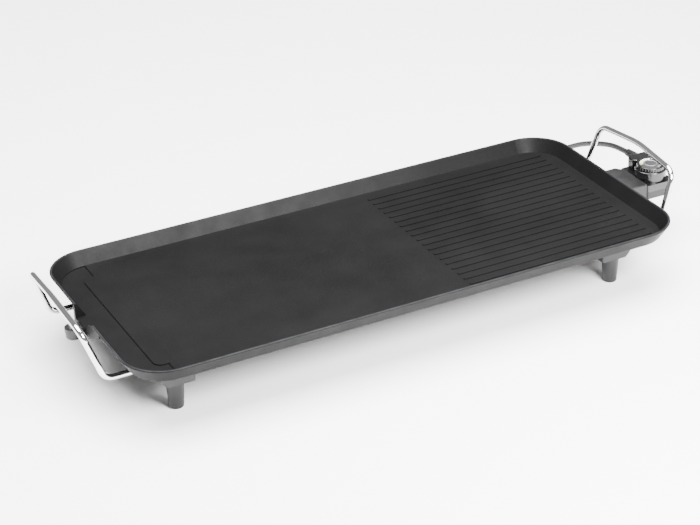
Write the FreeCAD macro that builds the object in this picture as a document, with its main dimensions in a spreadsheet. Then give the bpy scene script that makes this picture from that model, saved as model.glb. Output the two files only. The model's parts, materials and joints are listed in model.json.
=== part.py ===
import FreeCAD, Part
import math
import os

import Sketcher
from FreeCAD import Placement, Rotation, Vector

# Electric griddle, millimetres. +Z is up and the feet stand on Z = 0. X runs along the plate, with the
# plug-in controller at +X and the grease outlet at -X. Y runs across it, and -Y is the front.
# Sub-parts are drawn about the middle of the plate, and the whole object is then moved along X so that
# the origin lies at the middle of its outer box.

os.makedirs("parts", exist_ok=True)
doc = FreeCAD.newDocument("electric_griddle")

# ---------------------------------------------------------------- driving dimensions
DIMENSIONS = {
    # plate
    "plate_length": 700, "plate_width": 312, "rim_height": 85, "rim_corner": 52, "wall_slope": 32,
    "wall_thickness": 3.5, "tray_depth": 16, "floor_thickness": 3.5, "trough_depth": 1.2,
    "trough_width": 40, "tongue_length": 15, "tongue_width": 224, "tongue_corner": 10,
    "rib_count": 19, "rib_pitch": 13.8, "rib_width": 4.4, "rib_rise": 1.0, "rib_length": 250,
    "rib_middle": 195, "rim_round": 1.2, "base_round": 5,
    # grease outlet
    "outlet_offset": 18, "outlet_width": 30, "outlet_flare": 45, "lip_edge": 348.5,
    "spout_size": 18, "spout_bore": 11, "spout_base": 53,
    # feet
    "foot_x": 284, "foot_y": 92, "leg_top": 10.5, "leg_base": 8.5, "leg_height": 34,
    "block_height": 62, "leg_bore": 4.6, "screw_seat": 50,
    # handles
    "rod_size": 7.2, "rod_height": 53.5, "arm_y": 84, "handle_out": 10, "handle_lean": 19,
    "handle_corner": 64.5, "arch_rise": 7.5, "handle_corner_bend": 16, "arch_bend": 150,
    # heating element
    "element_size": 6.6, "element_height": 62, "element_y": 60, "terminal_y": 14, "terminal_height": 62,
    # socket guard
    "guard_end": 378, "guard_half": 30, "guard_base": 54, "guard_top": 78, "guard_wall": 2.4,
    # controller
    "housing_end": 418, "housing_half": 30, "housing_base": 56, "housing_split": 66, "housing_top": 75,
    "shell": 2.2, "turret_x": 398, "turret_y": -8, "turret_size": 39.2, "turret_top": 88,
    "dial_size": 35, "dial_top": 93.5, "disc_size": 30,
    "probe_size": 5.6, "probe_height": 62,
    # cord
    "cord_size": 7, "coil_mean": 39, "coil_x": 285, "coil_y": 215, "plug_size": 36,
}
sheet = doc.addObject("Spreadsheet::Sheet", "dims")
for row, (name, value) in enumerate(DIMENSIONS.items(), start=1):
    sheet.set("A%d" % row, name)
    sheet.set("B%d" % row, str(value))
    sheet.setAlias("B%d" % row, name)
doc.recompute()


def dim(name):
    """The number held in one cell of the sheet."""
    return float(sheet.get(name))


# ---------------------------------------------------------------- places worked out from them
SLOPE = math.tan(math.radians(dim("wall_slope")))
FLOOR = dim("rim_height") - dim("tray_depth")
UNDERSIDE = FLOOR - dim("floor_thickness")
HALF_LENGTH = dim("plate_length") / 2
LEAN = math.radians(dim("handle_lean"))
HANDLE_CORNER_Y = dim("arm_y") - 6
ARCH_TURN = math.atan(dim("arch_rise") / HANDLE_CORNER_Y)
ARCH_TOP = dim("handle_corner") + dim("arch_rise") - dim("arch_bend") * (1 / math.cos(ARCH_TURN) - 1)
LEFT_REACH = HALF_LENGTH + dim("handle_out") + ARCH_TOP * math.sin(LEAN) + dim("rod_size") / 2
MOVE_X = (LEFT_REACH - dim("housing_end")) / 2
HOME = Placement(Vector(MOVE_X, 0, 0), Rotation())

nodes = {}


# ---------------------------------------------------------------- helpers
def keep(item, label):
    """Name a finished sub-part and put it at the object's own origin."""
    item.Label = label
    item.Placement = HOME.multiply(item.Placement)
    nodes[label] = item
    return item


def bind(item, **expressions):
    for prop, expression in expressions.items():
        item.setExpression(prop, expression)


def new_body(label):
    body = doc.addObject("PartDesign::Body", "Body_" + label)
    body.Label = label
    return body


def origin_plane(body, role):
    return [f for f in body.Origin.OriginFeatures if f.Role == role][0]


def new_sketch(body, name, role="XY_Plane", offset=0.0):
    sketch = body.newObject("Sketcher::SketchObject", body.Label + "_" + name)
    sketch.AttachmentSupport = (origin_plane(body, role), [""])
    sketch.MapMode = "FlatFace"
    sketch.AttachmentOffset = Placement(Vector(0, 0, offset), Rotation())
    return sketch


def name_last(sketch, constraint, label, expression):
    index = sketch.addConstraint(constraint)
    sketch.renameConstraint(index, label)
    sketch.setExpression("Constraints." + label, expression)


def rounded_rectangle(sketch, size_x, size_y, radius, right, top):
    """A rectangle with round corners. Each size is an expression in the sheet's cells; right and top
    are where its right and top sides lie from the sketch's origin."""
    a, b, r = 40.0, 30.0, 5.0
    quarter = math.pi / 2
    corners = [(a - r, -b + r, -quarter), (a - r, b - r, 0), (-a + r, b - r, quarter),
               (-a + r, -b + r, 2 * quarter)]
    ends = [((-a + r, -b), (a - r, -b)), ((a, -b + r), (a, b - r)), ((a - r, b), (-a + r, b)),
            ((-a, b - r), (-a, -b + r))]
    for (start, end), (cx, cy, angle) in zip(ends, corners):
        sketch.addGeometry(Part.LineSegment(Vector(*start, 0), Vector(*end, 0)), False)
        circle = Part.Circle(Vector(cx, cy, 0), Vector(0, 0, 1), r)
        sketch.addGeometry(Part.ArcOfCircle(circle, angle, angle + quarter), False)
    for i in range(8):
        sketch.addConstraint(Sketcher.Constraint("Tangent", i, 2, (i + 1) % 8, 1))
    for i in (0, 4):
        sketch.addConstraint(Sketcher.Constraint("Horizontal", i))
    for i in (2, 6):
        sketch.addConstraint(Sketcher.Constraint("Vertical", i))
    for i in (3, 5, 7):
        sketch.addConstraint(Sketcher.Constraint("Equal", 1, i))
    name_last(sketch, Sketcher.Constraint("Radius", 1, r), "corner", radius)
    name_last(sketch, Sketcher.Constraint("DistanceX", 6, 1, 2, 1, 2 * a), "size_x", size_x)
    name_last(sketch, Sketcher.Constraint("DistanceY", 0, 1, 4, 1, 2 * b), "size_y", size_y)
    name_last(sketch, Sketcher.Constraint("DistanceX", -1, 1, 2, 1, a), "right", right)
    name_last(sketch, Sketcher.Constraint("DistanceY", -1, 1, 4, 1, b), "top", top)
    return sketch


def outline(sketch, points):
    """A closed outline of straight sides through the points."""
    for start, end in zip(points, points[1:] + points[:1]):
        sketch.addGeometry(Part.LineSegment(Vector(*start, 0), Vector(*end, 0)), False)
    count = len(points)
    for i in range(count):
        sketch.addConstraint(Sketcher.Constraint("Coincident", i, 2, (i + 1) % count, 1))
    return sketch


def pad(body, sketch, length, taper="0", downwards=False, both_ways=False):
    feature = body.newObject("PartDesign::Pad", sketch.Name + "_pad")
    feature.Profile = sketch
    bind(feature, Length=length, TaperAngle=taper)
    feature.Reversed = downwards
    feature.Midplane = both_ways
    sketch.Visibility = False
    doc.recompute()
    return feature


def pocket(body, sketch, length, taper="0", upwards=False, both_ways=False):
    before = body.Shape.Volume
    feature = body.newObject("PartDesign::Pocket", sketch.Name + "_pocket")
    feature.Profile = sketch
    bind(feature, Length=length, TaperAngle=taper)
    feature.Reversed = upwards
    feature.Midplane = both_ways
    doc.recompute()
    if body.Shape.Volume > before - 0.5:
        raise RuntimeError(sketch.Name + " cuts nothing")
    return feature


def round_edges(body, name, radius, chosen):
    """Fillet those edges of a body's present shape that chosen picks."""
    base = body.Tip
    picked = ["Edge%d" % (i + 1) for i, edge in enumerate(base.Shape.Edges) if chosen(edge)]
    feature = body.newObject("PartDesign::Fillet", body.Label + "_" + name)
    feature.Base = (base, picked)
    bind(feature, Radius=radius)
    doc.recompute()
    return feature


def level_edge(height):
    """True for an edge that lies wholly at one height."""
    return lambda edge: abs(edge.BoundBox.ZMin - height) < 0.01 and abs(edge.BoundBox.ZMax - height) < 0.01


def disc(sketch, places, radius):
    """Full circles at the places, each with a radius bound to an expression."""
    for i, (x, y) in enumerate(places):
        sketch.addGeometry(Part.Circle(Vector(x, y, 0), Vector(0, 0, 1), 3.0), False)
        name_last(sketch, Sketcher.Constraint("Radius", i, 3.0), "radius_%d" % i, radius)
    return sketch


def block(size, corner):
    """A Part box from its size and its lowest corner."""
    item = doc.addObject("Part::Box", "Block")
    item.Length, item.Width, item.Height = size
    item.Placement.Base = Vector(*corner)
    return item


def rod(radius, length, start, direction=(0, 0, 1), end_radius=None):
    """A Part cylinder, or a cone when it has an end radius. Radii and length may be expressions."""
    kind = "Part::Cylinder" if end_radius is None else "Part::Cone"
    item = doc.addObject(kind, "Rod")
    names = {"Radius": radius} if end_radius is None else {"Radius1": radius, "Radius2": end_radius}
    for prop, value in dict(names, Height=length).items():
        if isinstance(value, str):
            item.setExpression(prop, value)
        else:
            setattr(item, prop, value)
    item.Placement = Placement(Vector(*start), Rotation(Vector(0, 0, 1), Vector(*direction)))
    return item


def join(*items):
    item = doc.addObject("Part::MultiFuse", "Joined")
    item.Shapes = list(items)
    return item


def cut(base, *tools):
    item = doc.addObject("Part::Cut", "Cut")
    item.Base = base
    item.Tool = tools[0] if len(tools) == 1 else join(*tools)
    return item


def group(*items):
    """Separate solids that share one node."""
    item = doc.addObject("Part::Compound", "Group")
    item.Links = list(items)
    return item


def screw(head, seat, shank, length, place, up=1):
    """A pan-head screw: head and shank are radii, seat is the head's thickness, and place is where the
    head meets what it holds. The shank points up or down from there."""
    x, y, z = place
    direction = (0, 0, up)
    return join(rod(head, seat, (x, y, z - up * seat), direction), rod(shank, length, place, direction))


def rounded_path(points, radii):
    """Straight runs through the points, joined by tangent arcs of the radii at the inner points."""
    corners = [Vector(*p) for p in points]
    edges, start = [], corners[0]
    for before, here, after, radius in zip(corners, corners[1:], corners[2:], radii):
        into, out = (here - before).normalize(), (after - here).normalize()
        turn = into.getAngle(out)
        leg = radius * math.tan(turn / 2)
        first, last = here - into * leg, here + out * leg
        centre_way = (out - into).normalize()
        middle = here + centre_way * (radius / math.cos(turn / 2) - radius)
        edges += [Part.LineSegment(start, first).toShape(), Part.Arc(first, middle, last).toShape()]
        start = last
    edges.append(Part.LineSegment(start, corners[-1]).toShape())
    return Part.Wire(edges)


def cord_radii(points):
    """At each inner point, 0.45 of its shorter run over the tangent of half its turn."""
    corners = [Vector(*p) for p in points]
    radii = []
    for before, here, after in zip(corners, corners[1:], corners[2:]):
        into, out = here - before, after - here
        radii.append(0.45 * min(into.Length, out.Length) / math.tan(into.getAngle(out) / 2))
    return radii


def tube(points, radii, diameter):
    """A round solid along a rounded path, as a document object."""
    path = rounded_path(points, radii)
    start = path.Vertexes[0].Point
    direction = Vector(*points[1]) - Vector(*points[0])
    profile = Part.Wire(Part.makeCircle(diameter / 2, start, direction))
    item = doc.addObject("Part::Feature", "Tube")
    item.Shape = path.makePipeShell([profile], True, False)
    expected = path.Length * math.pi * diameter ** 2 / 4
    if abs(item.Shape.Volume / expected - 1) > 0.01:
        raise RuntimeError("a tube's volume doesn't match its length")
    return item, path.Length


# ---------------------------------------------------------------- griddle plate
def griddle_plate():
    """A cast tray with flared walls: a lower trough at the outlet end, ribs at the other, an outlet with
    a pouring lip in the left wall, and the bosses that the feet and the probe use underneath."""
    body = new_body("griddle_plate")
    depth = "(dims.tray_depth + dims.floor_thickness)"
    narrowing = depth + " * tan(dims.wall_slope * 1deg)"
    outer = rounded_rectangle(
        new_sketch(body, "outer", offset=UNDERSIDE), "dims.plate_length - 2 * " + narrowing,
        "dims.plate_width - 2 * " + narrowing, "dims.rim_corner - " + narrowing,
        "dims.plate_length / 2 - " + narrowing, "dims.plate_width / 2 - " + narrowing)
    pad(body, outer, depth, "dims.wall_slope")
    wall = " - 2 * dims.wall_thickness"
    inner = rounded_rectangle(
        new_sketch(body, "inner", offset=dim("rim_height")), "dims.plate_length" + wall,
        "dims.plate_width" + wall, "dims.rim_corner - dims.wall_thickness",
        "dims.plate_length / 2 - dims.wall_thickness", "dims.plate_width / 2 - dims.wall_thickness")
    pocket(body, inner, "dims.tray_depth", "-dims.wall_slope")
    round_edges(body, "rim", "dims.rim_round", level_edge(dim("rim_height")))
    round_edges(body, "base", "dims.base_round", level_edge(UNDERSIDE))
    plate_trough(body)
    plate_ribs(body)
    plate_outlet(body)
    plate_bosses(body)
    keep(body, "griddle_plate")


def floor_half(side):
    """Half the flat floor's length or width, up to the foot of the wall."""
    return dim(side) / 2 - dim("wall_thickness") - dim("tray_depth") * SLOPE


def plate_trough(body):
    """The trough covers the left end of the floor, and the cooking surface reaches into it as a tongue
    with round corners."""
    inset = 0.4
    half_x, half_y = floor_half("plate_length") - inset, floor_half("plate_width") - inset
    corner = dim("rim_corner") - dim("wall_thickness") - dim("tray_depth") * SLOPE - inset
    edge = dim("trough_width") - half_x
    sketch = new_sketch(body, "trough", offset=FLOOR)
    quarter = math.pi / 2
    top_arc = Part.Circle(Vector(corner - half_x, half_y - corner, 0), Vector(0, 0, 1), corner)
    low_arc = Part.Circle(Vector(corner - half_x, corner - half_y, 0), Vector(0, 0, 1), corner)
    sides = [
        Part.LineSegment(Vector(edge, half_y, 0), Vector(corner - half_x, half_y, 0)),
        Part.ArcOfCircle(top_arc, quarter, 2 * quarter),
        Part.LineSegment(Vector(-half_x, half_y - corner, 0), Vector(-half_x, corner - half_y, 0)),
        Part.ArcOfCircle(low_arc, 2 * quarter, 3 * quarter),
        Part.LineSegment(Vector(corner - half_x, -half_y, 0), Vector(edge, -half_y, 0)),
        Part.LineSegment(Vector(edge, -half_y, 0), Vector(edge, half_y, 0))]
    for side in sides:
        sketch.addGeometry(side, False)
    pocket(body, sketch, "dims.trough_depth")
    overlap = 10
    tongue = rounded_rectangle(
        new_sketch(body, "tongue", offset=FLOOR), "dims.tongue_length + %g" % overlap,
        "dims.tongue_width", "dims.tongue_corner", "%g" % (edge + overlap), "dims.tongue_width / 2")
    pad(body, tongue, "dims.trough_depth", downwards=True)


def plate_ribs(body):
    """Equal ribs along the plate, side by side across it."""
    first = rounded_rectangle(
        new_sketch(body, "rib", offset=FLOOR), "dims.rib_length", "dims.rib_width",
        "dims.rib_width / 2.2", "dims.rib_middle + dims.rib_length / 2",
        "dims.rib_width / 2 - (dims.rib_count - 1) / 2 * dims.rib_pitch")
    rib = pad(body, first, "dims.rib_rise")
    pattern = body.newObject("PartDesign::LinearPattern", "ribs")
    pattern.Originals = [rib]
    pattern.Direction = (first, ["V_Axis"])
    bind(pattern, Length="(dims.rib_count - 1) * dims.rib_pitch", Occurrences="dims.rib_count")
    body.Tip = pattern
    doc.recompute()


def outlet_filling(body, name, y, low):
    """The section, at one place along the left wall, of the filling under the outlet."""
    rim, edge = dim("rim_height"), dim("lip_edge")
    high = rim - (HALF_LENGTH - edge) / SLOPE
    under_wall = 1 - (HALF_LENGTH - (rim - low) * SLOPE)
    return outline(new_sketch(body, name, "XZ_Plane", -y),
                   [(-edge, low), (under_wall, low), (1 - edge, high), (-edge, high)])


def plate_outlet(body):
    """The outlet in the left wall: square at its far side, a round shoulder at its near side. The wall
    is filled out under it, so that the trough runs level to a straight pouring edge."""
    trough, rim = FLOOR - dim("trough_depth"), dim("rim_height")
    middle, half, flare = dim("outlet_offset"), dim("outlet_width") / 2, dim("outlet_flare")
    low, slope_start, back = UNDERSIDE - 4, middle - half - 12, middle + half + 5
    main = outlet_filling(body, "filling", (back + slope_start) / 2, low)
    pad(body, main, "%g" % (back - slope_start), both_ways=True)
    loft = body.newObject("PartDesign::AdditiveLoft", "filling_front")
    loft.Profile = outlet_filling(body, "filling_start", slope_start, low)
    loft.Sections = [outlet_filling(body, "filling_end", middle - half - flare, rim - 7)]
    loft.Ruled = True

    notch = new_sketch(body, "outlet", "YZ_Plane", -HALF_LENGTH - 2)
    above, share = rim + 4, math.sqrt(0.5)

    def at(y, z):
        return Vector(middle + y, z, 0)

    low_front, low_back = at(-half, trough), at(half, trough)
    bulge = at(-half - flare * (1 - share), trough + (rim - trough) * share)
    high_front = at(-half - flare, rim)
    for edge in (Part.LineSegment(low_front, low_back), Part.LineSegment(low_back, at(half + 1, above)),
                 Part.LineSegment(at(half + 1, above), at(-half - flare, above)),
                 Part.LineSegment(at(-half - flare, above), high_front),
                 Part.Arc(high_front, bulge, low_front)):
        notch.addGeometry(edge, False)
    pocket(body, notch, "20", upwards=True)
    round_edges(body, "pouring_edge", "1.5",
                lambda e: level_edge(trough)(e) and abs(e.BoundBox.XMax + dim("lip_edge")) < 0.1)


FOOT_PLACES = [(sx * dim("foot_x"), sy * dim("foot_y")) for sx in (-1, 1) for sy in (-1, 1)]
GUARD_SCREWS = [(326, -25), (326, 25)]
BOSS_DEPTH = UNDERSIDE - dim("block_height")


def plate_bosses(body):
    bosses = disc(new_sketch(body, "foot_bosses", offset=dim("block_height")), FOOT_PLACES, "8")
    pad(body, bosses, "%g" % (BOSS_DEPTH + 0.5))
    holes = disc(new_sketch(body, "foot_holes", offset=dim("block_height")), FOOT_PLACES, "2.1")
    pocket(body, holes, "%g" % (BOSS_DEPTH + 2), upwards=True)
    holes = disc(new_sketch(body, "guard_holes", offset=UNDERSIDE), GUARD_SCREWS, "1.6")
    pocket(body, holes, "2.5", upwards=True)
    depth = UNDERSIDE + 0.5 - (dim("probe_height") - 6)
    boss = rounded_rectangle(
        new_sketch(body, "probe_boss", offset=dim("probe_height") - 6), "44", "16", "3", "334", "8")
    pad(body, boss, "%g" % depth)
    bore = disc(new_sketch(body, "probe_bore", "YZ_Plane", 334), [(0, dim("probe_height"))],
                "dims.probe_size / 2 + 0.08")
    pocket(body, bore, "36")


griddle_plate()


# ---------------------------------------------------------------- heating element
def heating_element():
    """A sheathed hairpin under the floor, whose two cold ends come together at the guard."""
    height, side, neck = dim("element_height"), dim("element_y"), dim("terminal_y")
    far, near, entry, end = -258, 262, 300, 331
    half = [(end, neck), (entry, neck), (near, side), (far, side)]
    points = [(x, y, height) for x, y in half] + [(x, -y, height) for x, y in reversed(half)]
    bends = [25, 40, 45, 45, 40, 25]
    item, _ = tube(points, bends, dim("element_size"))
    keep(item, "heating_element")


CLAMP_X = (-200, -70, 60, 190)


def element_clamps():
    """Folded straps that hold the element up against the plate, each with a screw beside the rod."""
    straps, screws = [], []
    width, thick, reach = 12, 1.2, 9
    radius = dim("element_size") / 2
    low = dim("element_height") - radius - thick
    for x in CLAMP_X:
        for side in (-1, 1):
            y = side * dim("element_y")
            bar = block((width, 2 * radius + 2 * thick + reach, UNDERSIDE - low),
                        (x - width / 2, y - radius - thick - (reach if side < 0 else 0), low))
            tunnel = block((width + 2, 2 * radius, 2 * radius + 1),
                           (x - width / 2 - 1, y - radius, low + thick))
            outer_edge = y + side * (radius + thick)
            above_tab = block((width + 2, reach + 1, UNDERSIDE - low),
                              (x - width / 2 - 1, min(outer_edge, outer_edge + side * (reach + 1)),
                               low - thick))
            place = (x, outer_edge + side * reach / 2, UNDERSIDE - thick)
            hole = rod(1.7, 6, (place[0], place[1], place[2] - 3))
            straps.append(cut(bar, tunnel, above_tab, hole))
            screws.append(screw(2.8, 1.6, 1.5, 1.2, place))
    keep(group(*straps), "element_clamps")
    keep(group(*screws), "clamp_screws")


def terminals():
    """Ceramic bushes on the element's cold ends, and the pins that the controller plugs onto."""
    height = dim("terminal_height")
    pins, bushes = [], []
    for side in (-1, 1):
        y = side * dim("terminal_y")
        bush = rod(4.4, 14, (340, y, height), (1, 0, 0))
        bushes.append(cut(bush, rod(2.4, 20, (337, y, height), (1, 0, 0))))
        pin = rod(2.4, 42, (331, y, height), (1, 0, 0))
        nose = rod(2.4, 2, (373, y, height), (1, 0, 0), 1.2)
        pins.append(join(pin, nose))
    keep(group(*bushes), "terminal_bushes")
    keep(group(*pins), "terminal_pins")


heating_element()
element_clamps()
terminals()


# ---------------------------------------------------------------- socket guard
EARTH_SLOT = (-20.4, UNDERSIDE - 8, UNDERSIDE - 4)


def socket_guard():
    """A moulded sleeve around the pins. It follows the plate's flared wall, is open towards the
    controller, and has two tabs screwed up under the floor."""
    body = new_body("socket_guard")
    end, base, top = dim("guard_end"), dim("guard_base"), dim("guard_top")
    gap = 0.2
    foot = HALF_LENGTH - (dim("rim_height") - UNDERSIDE) * SLOPE + gap
    upper = HALF_LENGTH - (dim("rim_height") - top) * SLOPE + gap
    side = outline(new_sketch(body, "side", "XZ_Plane"),
                   [(foot - 2, base), (end, base), (end, top), (upper, top), (foot, UNDERSIDE - 0.2),
                    (foot - 2, UNDERSIDE - 0.2)])
    pad(body, side, "2 * dims.guard_half", both_ways=True)
    wall = "dims.guard_wall"
    cavity = rounded_rectangle(
        new_sketch(body, "cavity", "YZ_Plane", end), "2 * (dims.guard_half - %s)" % wall,
        "dims.guard_top - dims.guard_base - 2 * " + wall, "2", "dims.guard_half - " + wall,
        "dims.guard_top - " + wall)
    pocket(body, cavity, "26")
    bushes = disc(new_sketch(body, "bush_holes", "YZ_Plane", 330),
                  [(side_y * dim("terminal_y"), dim("terminal_height")) for side_y in (-1, 1)], "4.4")
    pocket(body, bushes, "30", upwards=True)
    probe = disc(new_sketch(body, "probe_hole", "YZ_Plane", 330), [(0, dim("probe_height"))],
                 "dims.probe_size / 2 + 0.6")
    pocket(body, probe, "30", upwards=True)
    notch = outline(new_sketch(body, "finger_notch", offset=top + 1),
                    [(end - 9, dim("guard_half") + 1), (end + 1, dim("guard_half") + 1),
                     (end + 1, dim("guard_half") - 12)])
    pocket(body, notch, "6")
    round_edges(body, "soft_edges", "1.2",
                lambda e: abs(e.BoundBox.YMin) > dim("guard_half") - 0.1 and e.BoundBox.YLength < 0.1
                and e.BoundBox.XMin > foot and e.BoundBox.ZLength < 0.1)
    tabs = new_sketch(body, "tabs", offset=UNDERSIDE - 4)
    for sy in (-1, 1):
        add_box(tabs, (316, foot), sorted((sy * 19, sy * 29)))
    pad(body, tabs, "3.9")
    slot = new_sketch(body, "earth_slot", "YZ_Plane", 330)
    y, low, high = EARTH_SLOT
    add_box(slot, (y - 0.5, y + 0.5), (low, high))
    pocket(body, slot, "30", upwards=True)
    holes = disc(new_sketch(body, "tab_holes", offset=UNDERSIDE - 5), GUARD_SCREWS, "1.9")
    pocket(body, holes, "6", upwards=True)
    keep(body, "socket_guard")
    screws = [screw(3.4, 2.2, 1.6, 6, (x, y, UNDERSIDE - 4)) for x, y in GUARD_SCREWS]
    keep(group(*screws), "guard_screws")


def add_box(sketch, x_range, y_range):
    """One plain rectangle more in a sketch."""
    (x0, x1), (y0, y1) = x_range, y_range
    corners = [(x0, y0), (x1, y0), (x1, y1), (x0, y1)]
    first = len(sketch.Geometry)
    for start, end in zip(corners, corners[1:] + corners[:1]):
        sketch.addGeometry(Part.LineSegment(Vector(*start, 0), Vector(*end, 0)), False)
    for i in range(4):
        sketch.addConstraint(Sketcher.Constraint("Coincident", first + i, 2, first + (i + 1) % 4, 1))


def earth_blade():
    """A blade on edge beside the pins, clamped under one of the guard's tabs."""
    y, low, high = EARTH_SLOT
    keep(block((50, 1, high - low), (322, y - 0.5, low)), "earth_blade")


socket_guard()
earth_blade()


# ---------------------------------------------------------------- feet
def foot(name, sx, sy):
    """A moulded foot: a block under the plate that grips a handle's end, a tapered leg, and a gusset
    between them. The fixing screw runs up through the leg."""
    body = new_body(name)
    x, y = sx * dim("foot_x"), sy * dim("foot_y")
    base, top = dim("leg_height"), dim("block_height")
    outer_end, inner_end = 24, 20
    width_out, width_in = 14, 20
    right = x + (outer_end if sx > 0 else inner_end)
    far = y + (width_out if sy > 0 else width_in)
    plan = rounded_rectangle(
        new_sketch(body, "block", offset=base), "%g" % (outer_end + inner_end),
        "%g" % (width_out + width_in), "3", "%g" % right, "%g" % far)
    pad(body, plan, "dims.block_height - dims.leg_height")
    under = x + sx * outer_end
    low_side = y - (width_in if sy > 0 else width_out)
    relief = outline(new_sketch(body, "slope", "XZ_Plane", 1 - low_side),
                     [(under + sx, base - 1), (under - sx * 12, base - 1), (under + sx, base + 14)])
    pocket(body, relief, "%g" % (width_out + width_in + 2), upwards=False)
    leg = disc(new_sketch(body, "leg", offset=base), [(x, y)], "dims.leg_top")
    taper = math.degrees(math.atan((dim("leg_top") - dim("leg_base")) / base))
    pad(body, leg, "dims.leg_height", "-%g" % taper, downwards=True)
    gusset = outline(new_sketch(body, "gusset", "XZ_Plane", -y),
                     [(x + sx * 8, base + 1), (x + sx * (outer_end - 11), base + 1), (x + sx * 8, base - 14)])
    pad(body, gusset, "7", both_ways=True)
    round_edges(body, "toe", "1.6", level_edge(0))
    bore = disc(new_sketch(body, "bore"), [(x, y)], "dims.leg_bore")
    pocket(body, bore, "dims.screw_seat", upwards=True)
    clearance = disc(new_sketch(body, "clearance"), [(x, y)], "2.6")
    pocket(body, clearance, "dims.block_height + 1", upwards=True)
    start = x + sx * (outer_end + 1)
    socket = disc(new_sketch(body, "socket", "YZ_Plane", start), [(sy * dim("arm_y"), dim("rod_height"))],
                  "dims.rod_size / 2")
    pocket(body, socket, "%g" % (outer_end + 1 + 8), upwards=sx < 0)
    keep(body, name)


FOOT_NAMES = {(-1, -1): "foot_front_left", (1, -1): "foot_front_right",
              (-1, 1): "foot_rear_left", (1, 1): "foot_rear_right"}
for (sx, sy), foot_name in FOOT_NAMES.items():
    foot(foot_name, sx, sy)
keep(group(*[screw(4.0, 2.6, 2.1, 16, (x, y, dim("screw_seat"))) for x, y in FOOT_PLACES]), "foot_screws")


# ---------------------------------------------------------------- handles
def handle(name, side):
    """A bent rod: two level arms from the feet, which rise outwards to a low arch over the plate's end."""
    bend_x = HALF_LENGTH + dim("handle_out")
    arm_y = dim("arm_y")
    low = dim("rod_height")

    def on_slope(y, rise):
        return (side * (bend_x + rise * math.sin(LEAN)), y, low + rise * math.cos(LEAN))

    rise = dim("handle_corner")
    corner_y = HANDLE_CORNER_Y
    top = rise + dim("arch_rise")
    inner = dim("foot_x") - 8
    points = [(side * inner, -arm_y, low), (side * bend_x, -arm_y, low), on_slope(-corner_y, rise),
              on_slope(0, top), on_slope(corner_y, rise), (side * bend_x, arm_y, low),
              (side * inner, arm_y, low)]
    corner = dim("handle_corner_bend")
    item, _ = tube(points, [14, corner, dim("arch_bend"), corner, 14], dim("rod_size"))
    keep(item, name)


handle("handle_left", -1)
handle("handle_right", 1)


# ---------------------------------------------------------------- drain spout
def drain_spout():
    """A moulded funnel that hangs on the filling below the pouring edge."""
    body = new_body("drain_spout")
    edge, middle, radius = -dim("lip_edge"), dim("outlet_offset"), dim("spout_size") / 2
    base, top = dim("spout_base"), FLOOR - dim("trough_depth") - 1.3
    centre = edge - radius
    barrel = disc(new_sketch(body, "barrel", offset=base), [(centre, middle)], "dims.spout_size / 2")
    pad(body, barrel, "%g" % (top - base))
    collar = disc(new_sketch(body, "collar", offset=top - 6), [(centre, middle)],
                  "dims.spout_size / 2 + 0.8")
    pad(body, collar, "6")
    web = new_sketch(body, "web", offset=base + 3)
    add_box(web, (centre, edge + 1), (middle - radius + 1, middle + radius - 1))
    pad(body, web, "%g" % (top - base - 3))
    round_edges(body, "toe", "2.4", level_edge(base))
    behind = new_sketch(body, "behind", offset=base - 1)
    add_box(behind, (edge, edge + 4), (middle - radius - 2, middle + radius + 2))
    pocket(body, behind, "20", upwards=True)
    funnel = disc(new_sketch(body, "funnel", offset=top), [(centre, middle)], "dims.spout_size / 2 - 0.9")
    pocket(body, funnel, "6", "-24")
    bore = disc(new_sketch(body, "bore", offset=base - 1), [(centre, middle)], "dims.spout_bore / 2")
    pocket(body, bore, "20", upwards=True)
    keep(body, "drain_spout")


drain_spout()


# ---------------------------------------------------------------- controller
HOUSING_NEAR = dim("guard_end") + 0.3
PLUG_NEAR = 354.5
PILLARS = [(412.6, -23.5), (412.6, 23.5)]
TURRET = (dim("turret_x"), dim("turret_y"))
BACK_BLOCK = ((388, 12.6), (dim("housing_end"), dim("housing_half")))
BLOCK_TOP = dim("turret_top") + 2.5
EXIT_X, EXIT_Z = 404, 83.2


def housing_plan(body, name, height, inset=0.0, corner=5.0):
    """The housing's outline at one height, or its inside when it has an inset."""
    near, end, half = HOUSING_NEAR + inset, dim("housing_end") - inset, dim("housing_half") - inset
    return rounded_rectangle(new_sketch(body, name, offset=height), "%g" % (end - near), "%g" % (2 * half),
                             "%g" % (corner - inset), "%g" % end, "%g" % half)


def plug_window(body, name, low, high):
    """The opening in the near wall that the plug block passes through."""
    window = new_sketch(body, name, "YZ_Plane", HOUSING_NEAR - 1)
    add_box(window, (-24, 24), (low, high))
    pocket(body, window, "dims.shell + 1.5", upwards=True)


def controller_base():
    body = new_body("controller_base")
    base, split, shell = dim("housing_base"), dim("housing_split"), dim("shell")
    pad(body, housing_plan(body, "outside", base), "dims.housing_split - dims.housing_base")
    round_edges(body, "bottom", "1.5", level_edge(base))
    depth = "dims.housing_split - dims.housing_base - dims.shell"
    pocket(body, housing_plan(body, "inside", split, shell), depth)
    pillars = disc(new_sketch(body, "pillars", offset=base + shell), PILLARS, "3.4")
    pad(body, pillars, depth)
    plug_window(body, "window", base + shell, split + 1)
    seats = disc(new_sketch(body, "seats", offset=base - 1), PILLARS, "2.7")
    pocket(body, seats, "3", upwards=True)
    holes = disc(new_sketch(body, "holes", offset=base - 1), PILLARS, "1.5")
    pocket(body, holes, "14", upwards=True)
    keep(body, "controller_base")


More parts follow.
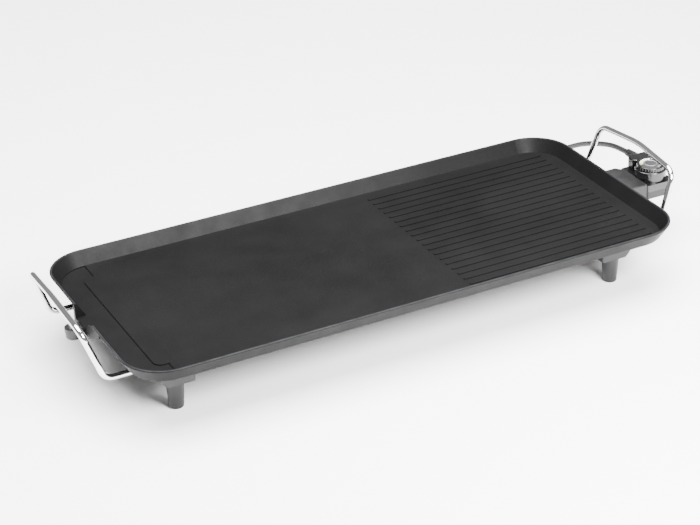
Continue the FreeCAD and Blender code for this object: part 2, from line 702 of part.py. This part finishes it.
def controller_cover():
    """The upper half, with the turret under the dial and the block that the cord leaves by."""
    body = new_body("controller_cover")
    split, top, shell = dim("housing_split"), dim("housing_top"), dim("shell")
    turret_top = dim("turret_top")
    pad(body, housing_plan(body, "outside", split), "dims.housing_top - dims.housing_split")
    turret = disc(new_sketch(body, "turret", offset=top - 1), [TURRET], "dims.turret_size / 2")
    pad(body, turret, "dims.turret_top - dims.housing_top + 1")
    (x0, y0), (x1, y1) = BACK_BLOCK
    raised = rounded_rectangle(new_sketch(body, "raised", offset=top - 1), "%g" % (x1 - x0), "%g" % (y1 - y0),
                               "5", "%g" % x1, "%g" % y1)
    pad(body, raised, "%g" % (BLOCK_TOP - top + 1))
    round_edges(body, "top", "1.2", lambda e: level_edge(turret_top)(e) or level_edge(BLOCK_TOP)(e))
    inside = housing_plan(body, "inside", split, shell)
    pocket(body, inside, "dims.housing_top - dims.housing_split - dims.shell", upwards=True)
    hollow = disc(new_sketch(body, "turret_inside", offset=split), [TURRET],
                  "dims.turret_size / 2 - dims.shell")
    pocket(body, hollow, "%g" % (turret_top - shell - split), upwards=True)
    back = new_sketch(body, "raised_inside", offset=split)
    add_box(back, (x0 + shell, x1 - shell), (y0 + shell, y1 - shell))
    pocket(body, back, "%g" % (BLOCK_TOP - shell - split), upwards=True)
    pillars = disc(new_sketch(body, "pillars", offset=split), PILLARS, "3.4")
    pad(body, pillars, "dims.housing_top - dims.housing_split - 0.5")
    plug_window(body, "window", split - 1, top - shell)
    holes = disc(new_sketch(body, "holes", offset=split - 1), PILLARS, "1.2")
    pocket(body, holes, "7", upwards=True)
    shaft = disc(new_sketch(body, "shaft_hole", offset=turret_top + 1), [TURRET], "3.06")
    pocket(body, shaft, "4")
    wall = new_sketch(body, "cord_hole", "XZ_Plane", -dim("housing_half") - 1)
    pocket(body, disc(wall, [(EXIT_X, EXIT_Z)], "4.2"), "4", upwards=True)
    keep(body, "controller_cover")
    base_seat = dim("housing_base") + 2
    keep(group(*[screw(2.4, 1.6, 1.2, 12.5, (x, y, base_seat)) for x, y in PILLARS]), "housing_screws")


def plug_block():
    """The part that enters the guard: a moulded block with two sleeves and the temperature probe."""
    low, high = dim("housing_base") + dim("shell"), dim("housing_top") - dim("shell")
    end = HOUSING_NEAR + 6
    body = new_body("plug_block")
    plan = rounded_rectangle(new_sketch(body, "face", "YZ_Plane", PLUG_NEAR), "48", "%g" % (high - low), "2",
                             "24", "%g" % high)
    pad(body, plan, "%g" % (end - PLUG_NEAR))
    pins = [(side * dim("terminal_y"), dim("terminal_height")) for side in (-1, 1)]
    bores = disc(new_sketch(body, "sleeve_bores", "YZ_Plane", PLUG_NEAR - 1), pins, "2.95")
    pocket(body, bores, "%g" % (end - PLUG_NEAR + 2), upwards=True)
    probe = disc(new_sketch(body, "probe_bore", "YZ_Plane", PLUG_NEAR - 1), [(0, dim("probe_height"))],
                 "dims.probe_size / 2")
    pocket(body, probe, "%g" % (end - PLUG_NEAR + 2), upwards=True)
    earth = new_sketch(body, "earth_slot", "YZ_Plane", PLUG_NEAR - 1)
    earth_y, earth_low, earth_high = EARTH_SLOT
    add_box(earth, (earth_y - 1, earth_y + 1), (earth_low - 1, earth_high + 0.5))
    pocket(body, earth, "20", upwards=True)
    keep(body, "plug_block")
    sleeves = []
    for y, z in pins:
        outside = rod(2.95, 32, (PLUG_NEAR, y, z), (1, 0, 0))
        inside = rod(2.45, 34, (PLUG_NEAR - 1, y, z), (1, 0, 0))
        sleeves.append(cut(outside, inside))
    keep(group(*sleeves), "contact_sleeves")
    tip = 316
    radius = dim("probe_size") / 2
    probe = join(rod("dims.probe_size / 2", 68.5, (tip + 2, 0, dim("probe_height")), (1, 0, 0)),
                 rod(radius - 1.2, 2, (tip, 0, dim("probe_height")), (1, 0, 0), radius))
    keep(probe, "temperature_probe")


def switch():
    """The thermostat's frame and its two contact blades under the dial's shaft."""
    floor = dim("housing_base") + dim("shell")
    frame_top = floor + 6
    x, y = TURRET
    frame = cut(block((20.5, 28, 6), (388, -22, floor)), rod(2, 8, (x, y, floor - 1)))
    keep(frame, "switch_frame")
    blades = []
    for along in (-19, -1):
        strip = block((18, 5, 0.6), (389, along - 2.5, frame_top))
        button = rod(1.6, 1, (405, along, frame_top + 0.6))
        blades.append(join(strip, button))
    keep(group(*blades), "contact_blades")


controller_base()
controller_cover()
plug_block()
switch()


# ---------------------------------------------------------------- dial
def dial():
    """The knob with a grip round its edge, its printed disc and the shaft into the thermostat."""
    x, y = TURRET
    low, top, radius = dim("turret_top") + 0.3, dim("dial_top"), dim("dial_size") / 2
    body = new_body("dial_knob")
    pad(body, disc(new_sketch(body, "skirt", offset=low), [TURRET], "dims.dial_size / 2"), "%g" % (top - low))
    round_edges(body, "rim", "1", level_edge(top))
    count, reach = 30, radius + 0.55
    places = [(x + reach * math.cos(2 * math.pi * i / count), y + reach * math.sin(2 * math.pi * i / count))
              for i in range(count)]
    pocket(body, disc(new_sketch(body, "grip", offset=low - 1), places, "1.1"), "%g" % (top - low - 0.2),
           upwards=True)
    pocket(body, disc(new_sketch(body, "recess", offset=top + 1), [TURRET], "dims.disc_size / 2"), "1.6")
    pocket(body, disc(new_sketch(body, "shaft_hole", offset=low - 1), [TURRET], "3"), "4.2", upwards=True)
    keep(body, "dial_knob")
    keep(rod("dims.disc_size / 2", 0.6, (x, y, top - 0.6)), "dial_scale_disc")
    shaft_low = 68
    keep(rod("3", low + 3.2 - shaft_low, (x, y, shaft_low)), "dial_shaft")


dial()


# ---------------------------------------------------------------- cord
def grommet():
    """A tapered, ringed strain relief held in the housing's wall, round the cord."""
    start, length = dim("housing_half"), 21
    outward = (0, 1, 0)
    radius, end_radius = 6.3, 4.7
    neck = rod(4.2, start - 26, (EXIT_X, 26, EXIT_Z), outward)
    flange = rod(5.0, 2, (EXIT_X, start - dim("shell") - 2, EXIT_Z), outward)
    cone = rod(radius, length, (EXIT_X, start, EXIT_Z), outward, end_radius)
    rings = []
    for i in range(4):
        place = start + 3.2 + i * 4.4
        here = radius - (radius - end_radius) * (place - start) / length
        ring = rod(8, 1.6, (EXIT_X, place, EXIT_Z), outward)
        rings.append(cut(ring, rod(here - 0.9, 3, (EXIT_X, place - 0.7, EXIT_Z), outward)))
    bore = rod("dims.cord_size / 2", 40, (EXIT_X, 20, EXIT_Z), outward)
    keep(cut(join(neck, flange, cone), bore, *rings), "strain_relief")


COIL = (dim("coil_x"), dim("coil_y"))
COIL_LOW = 1.2
CORD_ROUTE = [(EXIT_X, 27, EXIT_Z), (EXIT_X, 71, EXIT_Z), (403.5, 114, 70.4), (402, 154, 54.3),
              (399, 196, 30), (393, 226, 12), (374, 254, 4.7), (334, 262, 4.7), (297, 258.4, 4.7)]
TAIL_ROUTE = [(288, 257.8, 11.7), (261, 254.5, 13), (236, 239.3, 17.8), (214, 238.2, 18)]


def cord():
    for name, route in (("power_cord", CORD_ROUTE), ("cord_tail", TAIL_ROUTE)):
        radii = cord_radii(route)
        print(name, "radii", [round(r, 1) for r in radii])
        item, length = tube(route, radii, dim("cord_size"))
        print(name, "length", round(length, 1))
        keep(item, name)
    x, y = COIL
    size, mean = dim("cord_size"), dim("coil_mean")
    outer, inner, height = mean + size, mean - size, 2 * size
    print("coiled length", round(2 * 2 * math.pi * 2 * mean, 1))
    body = new_body("cord_coil")
    pad(body, disc(new_sketch(body, "outside", offset=COIL_LOW), [COIL], "dims.coil_mean + dims.cord_size"),
        "2 * dims.cord_size")
    pocket(body, disc(new_sketch(body, "inside", offset=COIL_LOW + height), [COIL],
                      "dims.coil_mean - dims.cord_size"), "2 * dims.cord_size")
    round_edges(body, "edges", "3", lambda e: level_edge(COIL_LOW)(e) or level_edge(COIL_LOW + height)(e))
    keep(body, "cord_coil")
    thick, width = 1.2, 12
    band = block((width, outer - inner + 2 * thick, height + 2 * thick),
                 (x - width / 2, y - outer - thick, COIL_LOW - thick))
    hole = block((width + 2, outer - inner, height), (x - width / 2 - 1, y - outer, COIL_LOW))
    keep(cut(band, hole), "coil_tie")


def plug():
    """A plain round two-pin mains plug on its side, with its own tapered relief."""
    x, y, z = TAIL_ROUTE[-1]
    back = (-1, 0, 0)
    radius = dim("plug_size") / 2
    mouth = x + 11
    relief = rod(5.2, 20, (mouth, y, z), back, 8)
    shoulder = rod(8, 10, (mouth - 20, y, z), back, radius)
    barrel = rod("dims.plug_size / 2", 30, (mouth - 30, y, z), back)
    nose = rod(radius, 3, (mouth - 60, y, z), back, radius - 2)
    bore = rod("dims.cord_size / 2", mouth - x, (mouth, y, z), back)
    pins = [rod(2.4, 19, (mouth - 63, y + side * 9.5, z), back) for side in (-1, 1)]
    keep(cut(join(relief, shoulder, barrel, nose), bore), "plug_body")
    keep(group(*pins), "plug_pins")


grommet()
cord()
plug()


# ---------------------------------------------------------------- checks and export
def check_and_export():
    doc.recompute()
    for item in doc.Objects:
        if "Invalid" in item.State or "Error" in item.State:
            raise RuntimeError(item.Label + " doesn't compute")
    os.makedirs("parts", exist_ok=True)
    for name, item in nodes.items():
        shape = item.Shape
        if shape.isNull() or not shape.isValid() or not shape.Solids:
            raise RuntimeError(name + " has no valid solid")
        shape.exportStep("parts/" + name + ".step")


check_and_export()
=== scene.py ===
import json
import math

import bmesh
import bpy
from mathutils import Matrix, Vector


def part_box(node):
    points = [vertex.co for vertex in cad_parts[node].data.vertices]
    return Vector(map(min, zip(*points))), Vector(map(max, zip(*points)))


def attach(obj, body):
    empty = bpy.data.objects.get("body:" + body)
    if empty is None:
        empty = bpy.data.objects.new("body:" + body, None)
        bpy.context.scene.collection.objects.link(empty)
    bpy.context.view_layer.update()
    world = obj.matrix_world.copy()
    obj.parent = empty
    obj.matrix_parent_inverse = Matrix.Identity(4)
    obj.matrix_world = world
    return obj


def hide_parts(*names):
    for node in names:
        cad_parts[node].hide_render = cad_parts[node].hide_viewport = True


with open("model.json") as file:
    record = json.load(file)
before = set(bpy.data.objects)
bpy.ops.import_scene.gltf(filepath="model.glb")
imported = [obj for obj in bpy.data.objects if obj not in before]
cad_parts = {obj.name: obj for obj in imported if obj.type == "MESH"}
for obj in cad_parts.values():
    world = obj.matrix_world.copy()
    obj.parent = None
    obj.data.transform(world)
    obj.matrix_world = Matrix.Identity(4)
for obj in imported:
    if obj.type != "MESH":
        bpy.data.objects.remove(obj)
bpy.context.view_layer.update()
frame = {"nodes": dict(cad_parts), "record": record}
nodes = frame["nodes"]

# The plate's middle in the row frame: everything below is measured from it.
plate_low, plate_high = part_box("griddle_plate")
MIDDLE_X = (plate_low[0] + plate_high[0]) / 2


def at(x, y, z):
    """A place measured in millimetres from the plate's middle, as a row-frame point in metres."""
    return Vector((x / 1000 + MIDDLE_X, y / 1000, z / 1000))


# ---------------------------------------------------------------- camera
def make_camera():
    camera = bpy.data.objects.new("Camera", bpy.data.cameras.new("Camera"))
    bpy.context.collection.objects.link(camera)
    camera.data.lens = 104.84
    camera.data.sensor_width = 36
    camera.data.clip_end = 50
    place, target, roll = at(-956.3, -1883.4, 1194.5), at(33.18, 106.05, 0), math.radians(-1.9187)
    forward = (target - place).normalized()
    right = forward.cross(Vector((0, 0, 1))).normalized()
    up = right.cross(forward)
    tilted_right = right * math.cos(roll) + up * math.sin(roll)
    tilted_up = up * math.cos(roll) - right * math.sin(roll)
    turn = Matrix((tilted_right, tilted_up, -forward)).transposed()
    camera.matrix_world = Matrix.Translation(place) @ turn.to_4x4()
    bpy.context.scene.camera = camera


make_camera()


# ---------------------------------------------------------------- node helpers
NOISE_ROUGHNESS = 0.55


class Shader:
    """A short way to write node trees: each call adds a node and returns its first output."""

    def __init__(self, name):
        self.material = bpy.data.materials.new(name)
        self.material.use_nodes = True
        self.tree = self.material.node_tree
        self.bsdf = self.tree.nodes["Principled BSDF"]
        self.place = self.add("ShaderNodeTexCoord").outputs["Object"]

    def add(self, kind, **settings):
        node = self.tree.nodes.new(kind)
        for key, value in settings.items():
            setattr(node, key, value)
        return node

    def link(self, source, target):
        self.tree.links.new(source, target)

    def put(self, target, value):
        """A socket is linked; a number or a colour is set."""
        if isinstance(value, bpy.types.NodeSocket):
            self.link(value, target)
        else:
            target.default_value = value

    def noise(self, scale, detail):
        node = self.add("ShaderNodeTexNoise")
        self.link(self.place, node.inputs["Vector"])
        node.inputs["Scale"].default_value = scale
        node.inputs["Detail"].default_value = detail
        node.inputs["Roughness"].default_value = NOISE_ROUGHNESS
        return node.outputs["Fac"]

    def math(self, operation, a, b=0.0):
        node = self.add("ShaderNodeMath", operation=operation)
        self.put(node.inputs[0], a)
        self.put(node.inputs[1], b)
        return node.outputs[0]

    def remap(self, value, low, high, new_low, new_high):
        node = self.add("ShaderNodeMapRange")
        self.put(node.inputs["Value"], value)
        for key, number in (("From Min", low), ("From Max", high), ("To Min", new_low), ("To Max", new_high)):
            node.inputs[key].default_value = number
        return node.outputs[0]

    def mix(self, factor, a, b):
        node = self.add("ShaderNodeMix", data_type="RGBA")
        self.put(node.inputs["Factor"], factor)
        self.put(node.inputs["A"], a if isinstance(a, bpy.types.NodeSocket) else (*a, 1))
        self.put(node.inputs["B"], b if isinstance(b, bpy.types.NodeSocket) else (*b, 1))
        return node.outputs["Result"]

    def bump(self, height, strength, distance, below=None):
        node = self.add("ShaderNodeBump")
        self.put(node.inputs["Height"], height)
        node.inputs["Strength"].default_value = strength
        node.inputs["Distance"].default_value = distance
        if below:
            self.link(below, node.inputs["Normal"])
        return node.outputs["Normal"]

    def axes(self):
        node = self.add("ShaderNodeSeparateXYZ")
        self.link(self.place, node.inputs[0])
        return node.outputs

    def finish(self, color=None, rough=None, normal=None, metallic=0.0, **sockets):
        if color is not None:
            self.put(self.bsdf.inputs["Base Color"], color)
        if rough is not None:
            self.put(self.bsdf.inputs["Roughness"], rough)
        if normal is not None:
            self.link(normal, self.bsdf.inputs["Normal"])
        self.bsdf.inputs["Metallic"].default_value = metallic
        for key, value in sockets.items():
            self.bsdf.inputs[key.replace("_", " ")].default_value = value
        return self.material


# The diamond texture's edges and the rim's band of worn coating and painted highlight, in metres; X is from
# the plate's middle.
DIAMONDS_LEFT, DIAMONDS_RIGHT, DIAMONDS_HALF, DIAMONDS_TOP = -0.290, 0.068, 0.127, 0.0692
DIAMOND_FREQUENCY = 1050.0
EDGE_FADE = 0.002
RIM_LOW, RIM_HIGH = 0.0838, 0.0849


def coated_plate():
    """Non-stick coating: fine grain all over, a shallow diamond texture on the flat half of the floor."""
    s = Shader("coated_plate")
    x, y, z = s.axes()
    cloud = s.noise(9, 3)
    grain = s.noise(1500, 2)
    color = s.mix(s.remap(cloud, 0.35, 0.65, 0, 1), (0.0032, 0.0032, 0.0034), (0.0048, 0.0048, 0.005))
    speck = s.remap(s.noise(2600, 1), 0.6, 0.75, 0, 0.5)
    color = s.mix(speck, color, (0.014, 0.014, 0.015))
    # Painted highlight: the top of the rim is lifted to a lighter grey, partly worn coating and partly a
    # painted highlight for the bright lip line.
    rim_band = s.remap(z, RIM_LOW, RIM_HIGH, 0, 0.55)
    rim_wear_and_highlight = s.math("MULTIPLY", rim_band, s.remap(s.noise(60, 3), 0.3, 0.7, 0.3, 1))
    color = s.mix(rim_wear_and_highlight, color, (0.03, 0.03, 0.032))
    waves = []
    for sign in (1.0, -1.0):
        lean = s.math("ADD", x, s.math("MULTIPLY", y, sign))
        waves.append(s.math("ABSOLUTE", s.math("SINE", s.math("MULTIPLY", lean, DIAMOND_FREQUENCY))))
    diamonds = s.math("MINIMUM", waves[0], waves[1])
    left, right = DIAMONDS_LEFT + MIDDLE_X, DIAMONDS_RIGHT + MIDDLE_X
    inside = s.math("MULTIPLY", s.remap(x, left, left + EDGE_FADE, 0, 1),
                    s.remap(x, right - EDGE_FADE, right, 1, 0))
    aside = s.math("ABSOLUTE", y)
    inside = s.math("MULTIPLY", inside, s.remap(aside, DIAMONDS_HALF, DIAMONDS_HALF + EDGE_FADE, 1, 0))
    inside = s.math("MULTIPLY", inside, s.remap(z, DIAMONDS_TOP, DIAMONDS_TOP + 0.0003, 1, 0))
    pattern = s.math("MULTIPLY", diamonds, inside)
    normal = s.bump(grain, 0.35, 0.0003)
    normal = s.bump(pattern, 0.35, 0.0003, normal)
    rough = s.remap(s.noise(40, 4), 0.3, 0.7, 0.36, 0.46)
    return s.finish(color, rough, normal, Specular_IOR_Level=0.06)


def moulding(name, dark, light, rough_low, rough_high, grain_scale=900, grain=0.12, coat=0.0):
    s = Shader(name)
    color = s.mix(s.remap(s.noise(35, 4), 0.35, 0.65, 0, 1), dark, light)
    rough = s.remap(s.noise(120, 3), 0.3, 0.7, rough_low, rough_high)
    normal = s.bump(s.noise(grain_scale, 3), grain, 0.0002)
    return s.finish(color, rough, normal, Coat_Weight=coat, Coat_Roughness=0.08)


def metal(name, dark, light, rough_low, rough_high, strength=0.05):
    s = Shader(name)
    streak = s.noise(300, 4)
    color = s.mix(s.remap(s.noise(25, 3), 0.35, 0.65, 0, 1), dark, light)
    rough = s.remap(streak, 0.3, 0.7, rough_low, rough_high)
    return s.finish(color, rough, s.bump(streak, strength, 0.0001), metallic=1.0)


def heated_steel():
    """Sheathed element: dull steel with straw and blue heat stains."""
    s = Shader("element_steel")
    stain = s.noise(14, 4)
    color = s.mix(s.remap(stain, 0.35, 0.6, 0, 1), (0.22, 0.20, 0.18), (0.42, 0.36, 0.28))
    color = s.mix(s.remap(s.noise(22, 3), 0.55, 0.7, 0, 0.7), color, (0.16, 0.17, 0.24))
    rough = s.remap(s.noise(200, 3), 0.3, 0.7, 0.35, 0.6)
    return s.finish(color, rough, s.bump(s.noise(900, 3), 0.2, 0.0002), metallic=1.0)


def speckled(name, base, fleck, rough):
    s = Shader(name)
    color = s.mix(s.remap(s.noise(700, 2), 0.55, 0.68, 0, 0.6), base, fleck)
    color = s.mix(s.remap(s.noise(30, 3), 0.4, 0.7, 0, 0.15), color, tuple(0.5 * c for c in base))
    roughness = s.remap(s.noise(150, 2), 0.3, 0.7, rough, rough + 0.12)
    return s.finish(color, roughness, s.bump(s.noise(800, 3), 0.15, 0.0002))


MATERIALS = {
    "coated_plate": coated_plate(),
    "element_steel": heated_steel(),
    "zinc_steel": metal("zinc_steel", (0.46, 0.46, 0.45), (0.6, 0.6, 0.58), 0.28, 0.45, strength=0.1),
    "chrome_rod": metal("chrome_rod", (0.74, 0.74, 0.75), (0.82, 0.82, 0.83), 0.05, 0.11, strength=0.01),
    "ceramic": speckled("ceramic", (0.72, 0.68, 0.6), (0.5, 0.46, 0.4), 0.45),
    "contact_brass": metal("contact_brass", (0.62, 0.5, 0.26), (0.74, 0.62, 0.36), 0.22, 0.38),
    "black_moulding": moulding("black_moulding", (0.004, 0.004, 0.0043), (0.007, 0.007, 0.0073), 0.34, 0.46),
    "black_gloss": moulding("black_gloss", (0.003, 0.003, 0.0033), (0.006, 0.006, 0.0063),
                            0.16, 0.24, 700, 0.05, 0.5),
    "printed_disc": metal("printed_disc", (0.62, 0.63, 0.64), (0.72, 0.73, 0.74), 0.3, 0.4),
    "soft_black": moulding("soft_black", (0.004, 0.004, 0.004), (0.008, 0.008, 0.008),
                           0.42, 0.55, 1200, 0.15),
}
PRINT_DARK = moulding("print_dark", (0.02, 0.02, 0.022), (0.03, 0.03, 0.032), 0.4, 0.5)
PRINT_LIME = speckled("print_lime", (0.42, 0.55, 0.08), (0.36, 0.5, 0.06), 0.35)
PRINT_WHITE = speckled("print_white", (0.8, 0.8, 0.8), (0.74, 0.74, 0.74), 0.35)


for row in frame["record"]["subparts"]:
    node = nodes[row["node"]]
    material = MATERIALS[row["material_slot"]]
    node.data.materials.clear()
    node.data.materials.append(material)


# ---------------------------------------------------------------- pieces
def piece(name, geometry, material, body):
    """A new visible object from a bmesh or a curve, which rides on a CAD body."""
    if isinstance(geometry, bmesh.types.BMesh):
        data = bpy.data.meshes.new(name)
        bmesh.ops.recalc_face_normals(geometry, faces=geometry.faces)
        geometry.to_mesh(data)
        geometry.free()
    else:
        data = geometry
    thing = bpy.data.objects.new(name, data)
    data.materials.append(material)
    bpy.context.collection.objects.link(thing)
    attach(thing, body)
    return thing


# ---------------------------------------------------------------- dial face
DIAL_X, DIAL_Y, DIAL_TOP = 398, -8, 93.5


def sector(geometry, inner, outer, start, end, low, high):
    """A flat ring segment with rounded-off upper edges, between two angles in degrees."""
    steps = max(2, round((end - start) / 4))
    ease = min(0.12, (high - low) / 2)
    section = [(inner, low), (outer, low), (outer, high - ease), (outer - ease, high),
               (inner + ease, high), (inner, high - ease)]
    closed = end - start == 360
    rows = []
    for i in range(steps if closed else steps + 1):
        angle = math.radians(start + (end - start) * i / steps)
        across, along = math.cos(angle), math.sin(angle)
        rows.append([geometry.verts.new(at(DIAL_X + radius * across, DIAL_Y + radius * along, height))
                     for radius, height in section])
    if closed:
        pairs = zip(rows, rows[1:] + rows[:1])
    else:
        pairs = zip(rows, rows[1:])
        geometry.faces.new(rows[0])
        geometry.faces.new(list(reversed(rows[-1])))
    for row, following in pairs:
        for k in range(len(section)):
            m = (k + 1) % len(section)
            geometry.faces.new((row[k], row[m], following[m], following[k]))


def dial_face():
    """A dark face with a bright ring, a row of scale blocks, ticks and one lime mark."""
    face = bmesh.new()
    sector(face, 0.3, 14.8, 0, 360, DIAL_TOP - 0.6, DIAL_TOP + 0.02)
    plate = piece("dial_face", face, PRINT_DARK, "dial")
    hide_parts("dial_scale_disc")
    ring = bmesh.new()
    sector(ring, 7.3, 8.3, 0, 360, DIAL_TOP, DIAL_TOP + 0.25)
    piece("dial_ring", ring, MATERIALS["printed_disc"], "dial")
    blocks = bmesh.new()
    for i in range(5):
        sector(blocks, 9.6, 13.8, 62 + 17 * i, 76 + 17 * i, DIAL_TOP, DIAL_TOP + 0.1)
    piece("dial_scale_blocks", blocks, PRINT_WHITE, "dial")
    ticks = bmesh.new()
    for i in range(9):
        sector(ticks, 11.6, 13.8, 50 - 16 * i, 52.5 - 16 * i, DIAL_TOP, DIAL_TOP + 0.1)
    piece("dial_ticks", ticks, PRINT_WHITE, "dial")
    mark = bmesh.new()
    sector(mark, 9.6, 13.8, 148, 168, DIAL_TOP, DIAL_TOP + 0.1)
    piece("dial_mark", mark, PRINT_LIME, "dial")


dial_face()


# ---------------------------------------------------------------- cord tie
def cord_tie():
    """A soft strap round the coil's near side: a closed band with a rolled section."""
    low, high = [[1000 * c for c in corner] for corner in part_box("coil_tie")]
    middle_x, half_width = (low[0] + high[0]) / 2, (high[0] - low[0]) / 2
    middle_y, reach = (low[1] + high[1]) / 2, (high[1] - low[1]) / 2
    middle_z, rise = (low[2] + high[2]) / 2, (high[2] - low[2]) / 2
    around, thick = 48, 1.15
    section = [(-1, 0), (-0.86, 0.5), (-0.4, 0.5), (0, 0.42), (0.4, 0.5), (0.86, 0.5), (1, 0),
               (0.86, -0.5), (-0.86, -0.5)]
    strap = bmesh.new()
    rows = []
    for i in range(around):
        angle = 2 * math.pi * i / around
        across, up = math.cos(angle), math.sin(angle)
        out_y = math.copysign(abs(across) ** 0.45, across)
        out_z = math.copysign(abs(up) ** 0.45, up)
        row = []
        for along, depth in section:
            inset = thick * (0.5 - depth)
            row.append(strap.verts.new(Vector((
                (middle_x + half_width * along) / 1000,
                (middle_y + (reach - inset) * out_y) / 1000,
                (middle_z + (rise - inset) * out_z) / 1000))))
        rows.append(row)
    for i in range(around):
        row, following = rows[i], rows[(i + 1) % around]
        for k in range(len(section)):
            m = (k + 1) % len(section)
            strap.faces.new((row[k], row[m], following[m], following[k]))
    band = piece("tie_strap", strap, MATERIALS["soft_black"], "controller")
    band.data.shade_smooth()
    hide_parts("coil_tie")
    return band


tie = cord_tie()


# ---------------------------------------------------------------- cord
CORD_ROUTE = [(404, 27, 83.2), (404, 71, 83.2), (403.5, 114, 70.4), (402, 154, 54.3), (399, 196, 30),
              (393, 226, 12), (374, 254, 4.7), (334, 262, 4.7)]
TAIL_ROUTE = [(261, 254.5, 13), (236, 239.3, 17.8), (214, 238.2, 18)]
COIL_X, COIL_Y, COIL_MEAN, CORD_SIZE = 285, 215, 39, 7


def coil_points():
    """Four turns: inwards on the lower layer, then outwards on the upper one."""
    points, per_turn, turns = [], 12, 4
    for i in range(per_turn * turns + 1):
        turn = i / per_turn
        angle = math.radians(90 + 360 * turn)
        rise = min(max((turn - 1.5), 0), 1)
        layer = CORD_SIZE * rise
        if turn < 2:
            radius = COIL_MEAN + CORD_SIZE / 2 - CORD_SIZE * min(max(turn - 0.4, 0), 1)
        else:
            radius = COIL_MEAN - CORD_SIZE / 2 + CORD_SIZE * min(max(turn - 2.6, 0), 1)
        points.append((COIL_X + radius * math.cos(angle), COIL_Y + radius * math.sin(angle), 4.7 + layer))
    return points


def spline_curve(name, points, size):
    curve = bpy.data.curves.new(name, "CURVE")
    curve.dimensions = "3D"
    curve.bevel_depth = size / 2000
    curve.bevel_resolution = 5
    curve.resolution_u = 8
    curve.use_fill_caps = True
    line = curve.splines.new("NURBS")
    line.points.add(len(points) - 1)
    for point, place in zip(line.points, points):
        point.co = (*at(*place), 1)
    line.order_u = 3
    line.use_endpoint_u = True
    return curve


cord_points = CORD_ROUTE + coil_points() + TAIL_ROUTE
cord = piece("mains_cord", spline_curve("mains_cord", cord_points, CORD_SIZE - 0.1),
             MATERIALS["soft_black"], "controller")
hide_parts("power_cord", "cord_coil", "cord_tail")


# ---------------------------------------------------------------- floor and light
WORLD_STRENGTH = 0.35
KEY_POWER, TOP_POWER = 80, 480


def make_stage():
    floor = bpy.data.meshes.new("floor")
    reach = 9
    floor.from_pydata([(-reach, -reach, 0), (reach, -reach, 0), (reach, reach, 0), (-reach, reach, 0)], [],
                      [(0, 1, 2, 3)])
    thing = bpy.data.objects.new("floor", floor)
    s = Shader("floor")
    floor.materials.append(s.finish((0.92, 0.92, 0.92, 1), 0.8))
    bpy.context.collection.objects.link(thing)

    world = bpy.data.worlds.new("World")
    world.use_nodes = True
    world.node_tree.nodes["Background"].inputs["Color"].default_value = (1, 1, 1, 1)
    world.node_tree.nodes["Background"].inputs["Strength"].default_value = WORLD_STRENGTH
    bpy.context.scene.world = world


def lamp(name, place, aim, size, power):
    data = bpy.data.lights.new(name, "AREA")
    data.shape = "RECTANGLE"
    data.size, data.size_y = size
    data.energy = power
    thing = bpy.data.objects.new(name, data)
    bpy.context.collection.objects.link(thing)
    start = at(*place)
    thing.matrix_world = (Matrix.Translation(start)
                          @ (at(*aim) - start).to_track_quat("-Z", "Y").to_matrix().to_4x4())


make_stage()
lamp("key", (250, -1000, 830), (-280, 150, 80), (0.7, 0.5), KEY_POWER)
lamp("top", (0, 150, 2500), (0, 150, 0), (3.0, 2.4), TOP_POWER)
